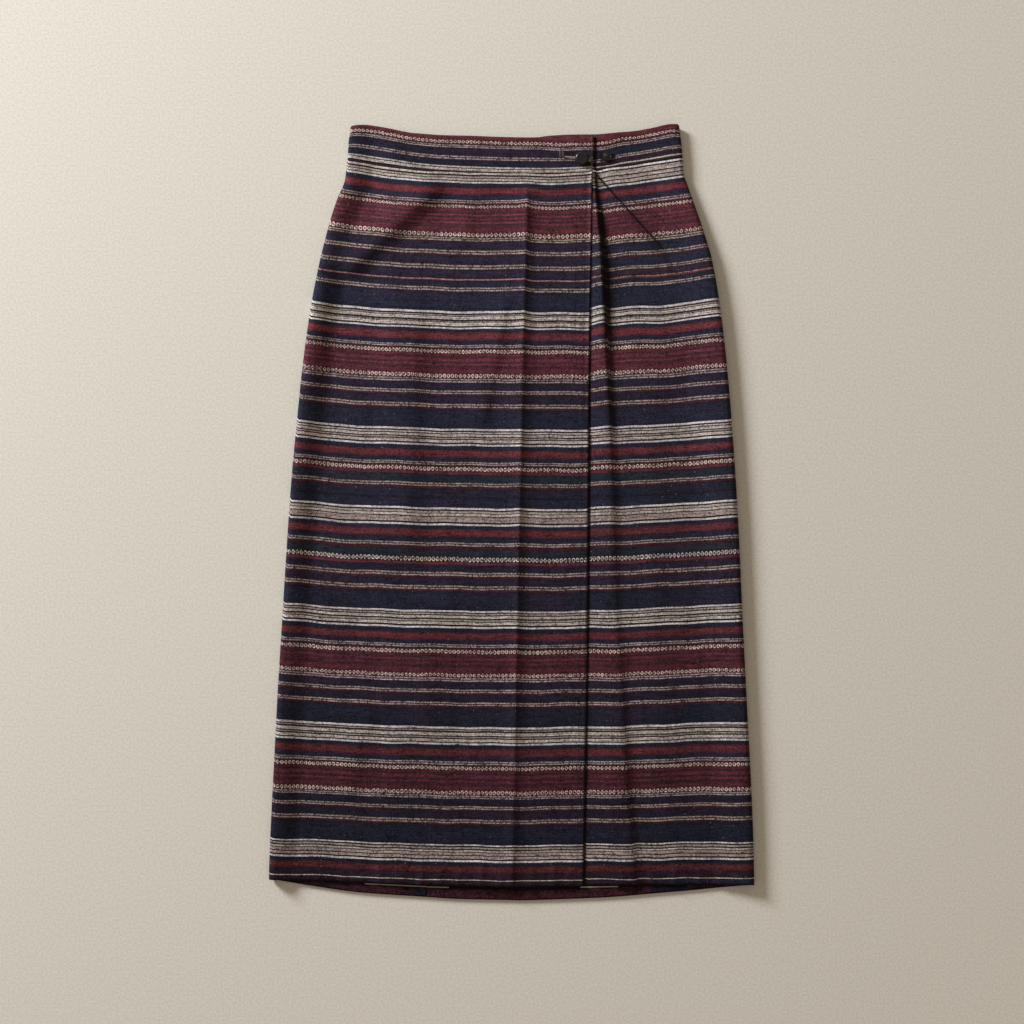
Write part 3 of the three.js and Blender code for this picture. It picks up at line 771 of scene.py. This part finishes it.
seam_below = line_of(WAIST_SEAM, GAP / 2)
band_rows = woven_rows(stripes("band"), BAND_ROW)
band_back = back_piece("band_back", band_rows, line_of(TOP_BACK), seam_below, BAND, BAND_COLUMNS)
band_under = front_piece("band_right", woven_rows(stripes("right_band"), BAND_ROW),
                         line_of(TOP_UNDER), seam_below, 1, BAND, UNDER_BAND_LINES,
                         lambda x, y: np.full_like(x, BAND_LEVEL), under_band_stir)
band_over = front_piece("band_left", band_rows, line_of(TOP_OVER), seam_below, -1, BAND,
                        OVER_BAND_LINES, over_band_height, over_band_stir)

# %% [markdown]
# ## The facing inside the back hem
# The back hangs a little lower than the fronts, so the strip that faces the inside of its hem
# shows below them. It is pieced from two lengths that meet left of the middle, and a navy
# patch shows beside the joint.

# %% Facings
FACING_JOINT = -96.9
FACING_END = 262
FACING_RIM = 0.8
FACING_COLUMN = 3
HEM_LINE = -426.0


def facing(name, x_from, x_to):
    """A strip along the back hem, from its rim up to its depth."""
    shares, strips = woven_rows(stripes("facing"), BAND_ROW)
    x = np.linspace(x_from, x_to, max(8, int((x_to - x_from) / FACING_COLUMN)))[None, :]
    y = along(HEM_BACK, x) + mix(FACING_DEPTH, FACING_RIM, shares[:, None])
    z = np.full_like(y, CLOTH + GAP + CLOTH / 2)
    return shell(name, np.stack([np.broadcast_to(x, y.shape), y, z], axis=-1), strips, CLOTH)


def redye(piece, x_from, x_to, dye, below):
    """Gives the faces between two x and below a y another dye: a patch of other cloth."""
    dyes = piece.data.color_attributes["Dye"].data
    kinds = piece.data.attributes["Kind"].data
    for face in piece.data.polygons:
        x, y = face.center[0] / MM, face.center[1] / MM
        if x_from < x < x_to and y < below:
            kinds[face.index].value = PLAIN
            for corner in face.loop_indices:
                dyes[corner].color = (*linear(DYES[dye][:3]), 1.0)


facing_left = facing("facing_left", -FACING_END, FACING_JOINT - GAP / 2)
facing_right = facing("facing_right", FACING_JOINT + GAP / 2, FACING_END)
redye(facing_left, -112.4, FACING_JOINT, "navy", HEM_LINE - 2)
redye(facing_right, 158, FACING_END, "navy", HEM_LINE)
redye(under, 165, 280, "navy", HEM_LINE + 8)

# %% [markdown]
# ## Shader maths as Python
# A material is a graph of nodes. Wrapping a node's output in a small class lets sums and
# products of outputs be written as Python, and one method makes every other kind of node.

# %% The socket class
class Thread:
    """One output of a node. Arithmetic on it adds Math nodes to its material."""

    def __init__(self, tree, socket):
        self.tree = tree
        self.socket = socket

    def node(self, kind, settings, inputs, output=0):
        """Adds a node: its settings are set first, then its sockets' values or links."""
        made = self.tree.nodes.new(kind)
        for name, value in settings.items():
            setattr(made, name, value)
        for name, value in inputs.items():
            if isinstance(value, Thread):
                self.tree.links.new(value.socket, made.inputs[name])
            else:
                made.inputs[name].default_value = value
        return Thread(self.tree, made.outputs[output])

    def maths(self, operation, *others):
        inputs = dict(enumerate((self, *others)))
        return self.node("ShaderNodeMath", {"operation": operation}, inputs)

    def __add__(self, other):
        return self.maths("ADD", other)

    def __mul__(self, other):
        return self.maths("MULTIPLY", other)

    def __sub__(self, other):
        return self.maths("SUBTRACT", other)

    def __truediv__(self, other):
        return self.maths("DIVIDE", other)

    def __rsub__(self, other):
        return (self * -1.0) + other

    __radd__ = __add__
    __rmul__ = __mul__

    def __abs__(self):
        return self.maths("ABSOLUTE")

    def step(self, low, high):
        """Rises smoothly from 0 at low to 1 at high."""
        return self.node("ShaderNodeMapRange", {"interpolation_type": "SMOOTHSTEP"},
                         {"Value": self, "From Min": low, "From Max": high})

    def blend(self, first, second):
        """Mixes two colours, with this as the share of the second."""
        return self.node("ShaderNodeMix", {"data_type": "RGBA"},
                         {0: self, 6: first, 7: second}, output=2)

    def part(self, axis):
        """One part of a vector: 0 for x, 1 for y."""
        return self.node("ShaderNodeSeparateXYZ", {}, {0: self}, output=axis)

    def place(self):
        """The point on the piece in metres, in the piece's own frame."""
        return self.node("ShaderNodeTexCoord", {}, {}, output=3)

    def noise(self, scale, detail=2.0, stretch=None):
        """Soft random spots over this place, from 0 to 1, smaller where it is stretched."""
        place = self
        if stretch:
            place = self.node("ShaderNodeVectorMath", {"operation": "MULTIPLY"},
                              {0: self, 1: stretch})
        inputs = {"Vector": place, "Scale": scale, "Detail": detail}
        return self.node("ShaderNodeTexNoise", {}, inputs)


def new_material(name, **constants):
    """A material, its Principled shader as a Thread, and a function that feeds its sockets."""
    material = bpy.data.materials.new(name)
    material.use_nodes = True
    tree = material.node_tree
    shader = next(n for n in tree.nodes if n.type == "BSDF_PRINCIPLED")
    for socket, value in constants.items():
        shader.inputs[socket.replace("_", " ")].default_value = value

    def feed(socket, thread):
        tree.links.new(thread.socket, shader.inputs[socket])

    return material, Thread(tree, shader.outputs[0]), feed


print("shader maths is ready")

# %% [markdown]
# ## The striped cloth
# The dye comes from the plan. A double stripe is two thin pale lines with dark beads between,
# and a figured one carries a row of small rings, dots and diamonds, a common repeat. Yarn
# streaks, an uneven dye and a fine rib of threads keep every stripe from looking printed.

# %% Cloth material
def screen(red, green, blue):
    """A screen colour as a node's colour value."""
    return (*linear((red, green, blue)), 1.0)


FIGURE_LENGTH = 2.0
BEAD_LENGTH = 3.1
RIB_LENGTH = 1.3
FIGURE_TINT = screen(206, 192, 182)
GAP_TINT = screen(48, 34, 42)
WORN_TINT = screen(46, 36, 38)
PATCH_TINT = screen(62, 34, 56)
LINT_TINT = screen(150, 140, 132)


def marks_on(colour, place, marks):
    """Lays straight marks on a colour: seams, stitches and loose threads, and painted shadows,
    painted shade and a painted highlight.
    """
    x, y = place.part(0) * (1 / MM), place.part(1) * (1 / MM)
    for x0, y0, x1, y1, half, soft, strength, dash, tint in marks:
        length = math.hypot(x1 - x0, y1 - y0)
        ux, uy = (x1 - x0) / length, (y1 - y0) / length
        on_it = (x - x0) * ux + (y - y0) * uy
        beside = abs((x - x0) * uy - (y - y0) * ux)
        mask = (1 - beside.step(half, half + soft)) * on_it.step(-0.5, soft)
        mask = mask * (1 - on_it.step(length - soft, length + 0.5)) * strength
        if dash:
            mask = mask * (on_it / dash).maths("FRACT").step(0.3, 0.45)
        colour = mask.blend(colour, screen(*tint))
    return colour


def figure_row(run, level, kind, place, wander):
    """Rows of small rings and diamonds, linked in a chain."""
    cell = (run / (kind * FIGURE_LENGTH) + wander * 0.3).maths("FRACT") - 0.5
    tall = level - 0.5 + wander * 0.16
    ring = (cell * cell * 1.1 + tall * tall * 1.2).maths("SQRT")
    diamond = abs(cell) * 0.95 + abs(tall) * 0.9
    pick = place.noise(30.0, stretch=(1.0, 3.0, 1.0)).step(0.46, 0.54)
    shape = ring * (1 - pick) + diamond * pick
    stroke = 1 - abs(shape - 0.35).step(0.03, 0.14)
    dot = (1 - ring.step(0.04, 0.16)) * 0.55
    return stroke.maths("MAXIMUM", dot)


def woven_cloth(name, lightness, marks):
    """The cloth, told how light it is and which marks it carries; a lightness below 1 is painted
    shade.
    """
    material, start, feed = new_material(name, Roughness=0.92, Specular_IOR_Level=0.12)
    weave = start.node("ShaderNodeUVMap", {"uv_map": "Weave"}, {})
    run, level = weave.part(0), weave.part(1)
    dye = start.node("ShaderNodeAttribute", {"attribute_name": "Dye"}, {}, output=0)
    kind = start.node("ShaderNodeAttribute", {"attribute_name": "Kind"}, {}, output=2)
    place = start.place()
    yarn = place.noise(1.0, stretch=(70.0, 1150.0, 90.0))
    grain = place.noise(560.0, 1.0)
    mottle = place.noise(170.0, 3.0)
    patches = place.noise(24.0, stretch=(0.5, 1.6, 1.0))
    blotches = place.noise(55.0, 1.0, (1.0, 0.25, 1.0))
    wander = place.noise(110.0) - 0.5
    off_middle = abs(level - 0.5)

    # figured stripes, broken up by the grain
    inside = 1 - off_middle.step(0.38, 0.49)
    broken = grain.step(0.40, 0.50) * 0.6 + 0.4
    figure = figure_row(run, level, kind, place, wander) * inside * broken
    figure = figure * kind.maths("COMPARE", FIGURED + 0.3, 0.4)

    # a double stripe: two thin pale lines with dark beads between
    beads = (run / BEAD_LENGTH + mottle * 1.6).maths("FRACT").step(0.2, 0.4)
    pale = abs(off_middle - 0.25).step(0.06, 0.18)
    gap = pale * (0.75 + 0.25 * beads) + (1 - pale) * (1 - grain.step(0.40, 0.49)) * 0.65
    gap = gap * kind.maths("COMPARE", DOUBLE, 0.1)

    # a light stripe: dark beads along its edges, a thin line that comes and goes, and specks
    worn = off_middle.step(0.32, 0.46) * (0.5 + 0.4 * beads) * 0.8
    line = (1 - off_middle.step(0.04, 0.13)) * (0.3 + blotches.step(0.35, 0.6) * 0.4)
    worn = worn.maths("MAXIMUM", line).maths("MAXIMUM", (1 - grain.step(0.36, 0.44)) * 0.25)
    edge = off_middle.step(0.34, 0.5) * 0.45
    worn = worn * kind.maths("COMPARE", LIGHT, 0.1) + edge * kind.maths("COMPARE", BRIGHT, 0.1)

    colour = figure.blend(dye, FIGURE_TINT)
    colour = gap.blend(colour, GAP_TINT)
    colour = worn.blend(colour, WORN_TINT)
    colour = (patches.step(0.45, 0.7) * 0.16).blend(colour, PATCH_TINT)
    shade = (yarn - 0.5) * 1.8 + (mottle - 0.5) * 0.9 + (grain - 0.5) * 2.3 + lightness
    # the whole cloth also grows darker toward the hem
    shade = shade + (blotches - 0.5) * 0.5 + place.part(1) * 0.25
    shade = shade * (1 - off_middle.step(0.3, 0.5) * 0.22)
    grey = start.node("ShaderNodeCombineColor", {}, {0: shade, 1: shade, 2: shade})
    colour = start.node("ShaderNodeMix", {"data_type": "RGBA", "blend_type": "MULTIPLY"},
                        {0: 1.0, 6: colour, 7: grey}, output=2)
    colour = (place.noise(420.0, 0.0).step(0.82, 0.86) * 0.35).blend(colour, LINT_TINT)
    feed("Base Color", marks_on(colour, place, marks))

    ribs = (run * (2 * math.pi / RIB_LENGTH)).maths("SINE")
    height = ribs * 0.2 + yarn * 0.8 + grain * 1.2 + figure * 0.4
    inputs = {"Strength": 0.55, "Distance": 0.0005, "Height": height}
    feed("Normal", start.node("ShaderNodeBump", {}, inputs))
    return material


# the dark tint draws seams and stitches and also paints shadows and shade; the pale tint draws
# stitches and threads and also paints one highlight
SEAM_AND_SHADE_DARK, THREAD_AND_HIGHLIGHT_PALE, WHITE = (22, 15, 19), (176, 156, 150), (226, 220, 208)
# each mark: x, y to x, y, half width, softness, strength, dash length, colour
RIGHT_MARKS = [
    # the dart's seam: a dark line that is partly the seam and partly painted shade in its fold
    (94.6, 387.8, 173.3, 300.1, 0.7, 1, 0.9, 0, SEAM_AND_SHADE_DARK),
    # painted shade beside the dart and past its end
    (128, 350.5, 181, 287, 2, 9, 0.30, 0, SEAM_AND_SHADE_DARK),
    (173.3, 300.1, 182, 268, 0.8, 4, 0.35, 0, SEAM_AND_SHADE_DARK),
    # painted shadow that the overlap's edge casts on the right front
    (91.6, 372, 88.6, 90, 0.9, 1.2, 0.75, 0, SEAM_AND_SHADE_DARK),
    (88.6, 90, 81.6, -424, 1.6, 1.8, 0.8, 0, SEAM_AND_SHADE_DARK),
    # painted shadow beside the tuck's crest, darkest near the waist
    (95.4, 386, 99.2, 345, 1.1, 1.4, 0.9, 0, SEAM_AND_SHADE_DARK),
    (100.4, 345, 104.6, 300, 2.3, 2.4, 0.95, 0, SEAM_AND_SHADE_DARK),
    (105.4, 300, 110.2, 200, 2.4, 3.4, 0.88, 0, SEAM_AND_SHADE_DARK),
    (110.2, 200, 115.2, 90, 1.4, 5.5, 0.5, 0, SEAM_AND_SHADE_DARK),
]
LEFT_MARKS = [
    (84.2, 384, 73.8, -424, 0.35, 0.6, 0.55, 3.4, SEAM_AND_SHADE_DARK),
    (74, 368, 71.8, 197, 0.3, 0.6, 0.45, 3.4, SEAM_AND_SHADE_DARK),
    # painted shade along the overlap's free edge
    (91, 386, 80.6, -425, 0.5, 1.2, 0.6, 0, SEAM_AND_SHADE_DARK),
]
RIGHT_BAND_MARKS = [
    # painted shadow that the overlap band's end casts on this band
    (94.8, 429, 94.8, 386, 0.8, 1.4, 0.85, 0, SEAM_AND_SHADE_DARK),
    # painted shade round the second button, and its painted shadow to the right
    (99, 405.5, 113, 406.5, 4.2, 3, 0.9, 0, SEAM_AND_SHADE_DARK),
    (112, 405.5, 119.5, 407.2, 1.6, 1.8, 0.85, 0, SEAM_AND_SHADE_DARK),
]
LEFT_BAND_MARKS = [
    (54.5, 414.5, 54.5, 405.5, 0.3, 0.5, 0.42, 2.3, THREAD_AND_HIGHLIGHT_PALE),
    (57.8, 414.5, 57.8, 405.5, 0.3, 0.5, 0.42, 2.3, THREAD_AND_HIGHLIGHT_PALE),
    # the buttonhole: painted shade in its slit, a pale thread, and a dark line below
    (60, 409, 72.5, 408, 2, 1.6, 0.6, 0, SEAM_AND_SHADE_DARK),
    (60, 405.6, 72.5, 405, 0.4, 0.7, 0.6, 0, THREAD_AND_HIGHLIGHT_PALE),
    (59.5, 403.6, 72.5, 402.2, 0.6, 0.7, 0.85, 0, SEAM_AND_SHADE_DARK),
    (91, 429, 91, 388, 0.7, 0.7, 0.25, 1.9, THREAD_AND_HIGHLIGHT_PALE),
    # a painted highlight for the outer button's rim at its lower right, then the button's painted
    # shadow
    (86, 401.6, 90, 400.6, 0.8, 0.8, 0.8, 0, THREAD_AND_HIGHLIGHT_PALE),
    (84, 399, 90, 399, 2.4, 2.4, 0.6, 0, SEAM_AND_SHADE_DARK),
    (-36, 411, -36, 402, 1.4, 3, 0.35, 0, SEAM_AND_SHADE_DARK),
    (-2, 414, -2, 395, 0.6, 1.2, 0.4, 0, SEAM_AND_SHADE_DARK),
]
HEM_MARKS = [
    # painted shadow under the left front's corner
    (-266, -421.5, -206, -430, 3.4, 3.4, 0.9, 0, SEAM_AND_SHADE_DARK),
    # painted shadow that the fronts' hems cast on the facing
    (-214, -422.6, -97, -426.4, 1.2, 1.4, 0.85, 0, SEAM_AND_SHADE_DARK),
    (-97, -426.4, 80, -428.2, 1.4, 1.2, 0.85, 0, SEAM_AND_SHADE_DARK),
    (80, -425.8, 200, -425.6, 0.8, 1.2, 0.85, 0, SEAM_AND_SHADE_DARK),
    (-168, -423.2, -97, -426.7, 0.3, 0.6, 0.42, 0, WHITE),
    (-97, -426.9, -72, -427.5, 0.3, 0.6, 0.42, 0, WHITE),
    (78, -427.2, 121, -426.5, 0.35, 0.5, 0.5, 0, WHITE),
]
WORN_BY = {
    # material: (how light, its marks, the pieces that wear it)
    "striped_cloth": (1.0, [], [back, band_back]),
    # the facings are drawn darker, as painted shade from the fronts' hems above them, and their
    # marks paint the hems' shadows and a pale line
    "cloth_inside": (0.76, HEM_MARKS, [facing_left, facing_right]),
    "striped_cloth_left": (1.0, LEFT_MARKS, [over]),
    "striped_cloth_right": (1.0, RIGHT_MARKS, [under]),
    "band_cloth_left": (1.0, LEFT_BAND_MARKS, [band_over]),
    "band_cloth_right": (1.0, RIGHT_BAND_MARKS, [band_under]),
}
for name, (lightness, marks, pieces) in WORN_BY.items():
    material = woven_cloth(name, lightness, marks)
    for piece in pieces:
        piece.data.materials.append(material)
print("the cloth covers 8 pieces")

# %% [markdown]
# ## Buttons
# Two dark buttons sit at the waist: a flat round one on the overlap, and a smaller domed one
# on the band beside it. Each is turned on a lathe: a half outline swept round an axis.

# %% Buttons
LEAST_SHARE = 0.0001
BUTTONS = {
    # name: (x, y, diameter, thickness, tilt in radians, segments, smooth)
    "outer_button": (79.2, 403.3, 15.0, 3.2, 0.05, 72, True),
    "second_button": (107.8, 406.6, 11.6, 3.6, 0.1, 14, False),
}
OUTER_PROFILE = [
    # share of the radius, share of the thickness
    (0, 0), (0.86, 0), (0.96, 0.08), (1, 0.3), (0.985, 0.5), (0.94, 0.72), (0.87, 0.9),
    (0.8, 0.98), (0.74, 1), (0.68, 0.98), (0.6, 0.93), (0.45, 0.89), (0.3, 0.88), (0, 0.88),
]
SECOND_PROFILE = [
    # the same columns
    (0, 0), (0.7, 0), (0.9, 0.1), (1, 0.3), (0.96, 0.45), (0.84, 0.48), (0.78, 0.42),
    (0.7, 0.46), (0, 1),
]


def lathe(name, profile, level):
    """Sweeps a profile round the vertical axis, and lays it tilted on the band at a level."""
    x, y, diameter, thick, tilt, segments, smooth = BUTTONS[name]
    place = (x, y, level + GAP + diameter / 2 * math.sin(tilt))
    ring = np.linspace(0, 2 * math.pi, segments, endpoint=False)
    points, faces = [], []
    for share, height in profile:
        r = max(share, LEAST_SHARE) * diameter / 2
        points += [(r * math.cos(turn), r * math.sin(turn), height * thick) for turn in ring]
    for k in range(len(profile) - 1):
        for i in range(segments):
            j = (i + 1) % segments
            faces.append((k * segments + i, k * segments + j,
                          (k + 1) * segments + j, (k + 1) * segments + i))
    c, s = math.cos(tilt), math.sin(tilt)
    points = np.array(points) @ np.array([[c, 0, -s], [0, 1, 0], [s, 0, c]]) + place
    mesh = bpy.data.meshes.new(name)
    mesh.from_pydata((points * MM).tolist(), [], faces)
    mesh.polygons.foreach_set("use_smooth", [smooth] * len(faces))
    return placed(name, mesh)


button_outer = lathe("outer_button", OUTER_PROFILE, OVERLAP_BAND_LEVEL + BAND / 2)
button_second = lathe("second_button", SECOND_PROFILE, BAND_LEVEL + BAND / 2)

horn, start, feed = new_material("dark_button", Roughness=0.32, Specular_IOR_Level=0.5)
scuffs = start.place().noise(900.0, 4.0)
feed("Base Color", scuffs.step(0.45, 0.75).blend(screen(15, 15, 16), screen(40, 41, 42)))
feed("Roughness", scuffs * 0.2 + 0.2)
for piece in (button_outer, button_second):
    piece.data.materials.append(horn)
print("two buttons")

# %% [markdown]
# ## The floor and the light
# A pale plain floor catches the skirt's soft shadow. One large soft light stands low on the
# left and a little toward the waist, as the shadows show, and a dim sky fills the rest.

# %% Floor and lights
FLOOR_HALF = 4.0
FLOOR_LEVEL = -0.0002
KEY = dict(place=(-3.12, 2.62, 1.5), size=1.25, power=290.0, colour=(0.99, 1.0, 1.02))
SKY_COLOUR = (1.0, 0.85, 0.68, 1.0)
SKY_STRENGTH = 0.345
floor_mesh = bpy.data.meshes.new("floor")
corners = [(x * FLOOR_HALF, y * FLOOR_HALF, 0) for x, y in ((-1, -1), (1, -1), (1, 1), (-1, 1))]
floor_mesh.from_pydata(corners, [], [(0, 1, 2, 3)])
floor = placed("floor", floor_mesh)
floor.location.z = FLOOR_LEVEL
pale, start, feed = new_material("pale_floor", Roughness=0.95, Specular_IOR_Level=0.1)
flecks = start.place().noise(420.0, 3.0)
feed("Base Color", flecks.step(0.3, 0.7).blend(screen(207, 204, 194), screen(221, 218, 209)))
floor_mesh.materials.append(pale)

lamp = bpy.data.lights.new("key", "AREA")
lamp.shape = "DISK"
lamp.size = KEY["size"]
lamp.energy = KEY["power"]
lamp.color = KEY["colour"]
key = placed("key", lamp)
x, y, z = KEY["place"]
key.location = (x, y, z)
key.rotation_euler = (math.atan2(math.hypot(x, y), z), 0, math.atan2(-y, -x) - math.pi / 2)
world = bpy.context.scene.world or bpy.data.worlds.new("room")
bpy.context.scene.world = world
world.use_nodes = True
sky = next(n for n in world.node_tree.nodes if n.type == "BACKGROUND")
sky.inputs["Color"].default_value = SKY_COLOUR
sky.inputs["Strength"].default_value = SKY_STRENGTH
bpy.context.scene.view_settings.view_transform = "Standard"
print("the key light stands", round(math.dist(key.location, (0, 0, 0)), 2), "m away")

# %% [markdown]
# ## What each piece stands for
# Every piece rides on the one body and replaces its solid.

# %% Pieces on the body
DRESSED = {
    # node: (piece, cut width, cut length, what it lies on)
    "back_panel": (back, 0.58, 0.86, ["floor"]),
    "hem_facing_left": (facing_left, 0.17, 0.045, ["back"]),
    "hem_facing_right": (facing_right, 0.365, 0.045, ["back"]),
    "under_front": (under, 0.42, 0.85, ["back", "facing_right"]),
    "over_front": (over, 0.38, 0.85, ["right_front"]),
    "waistband_back": (band_back, 0.40, 0.06, ["floor"]),
    "waistband_under": (band_under, 0.34, 0.06, ["band_back"]),
    "waistband_over": (band_over, 0.29, 0.06, ["band_right"]),
}
for node, (piece, width, length, lies_on) in DRESSED.items():
    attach(piece, "root")
    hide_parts(node)
    min(piece["flat_area"], width * length)
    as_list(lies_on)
for piece, node in ((button_outer, "button_outer"), (button_second, "button_second")):
    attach(piece, "root")
    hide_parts(node)
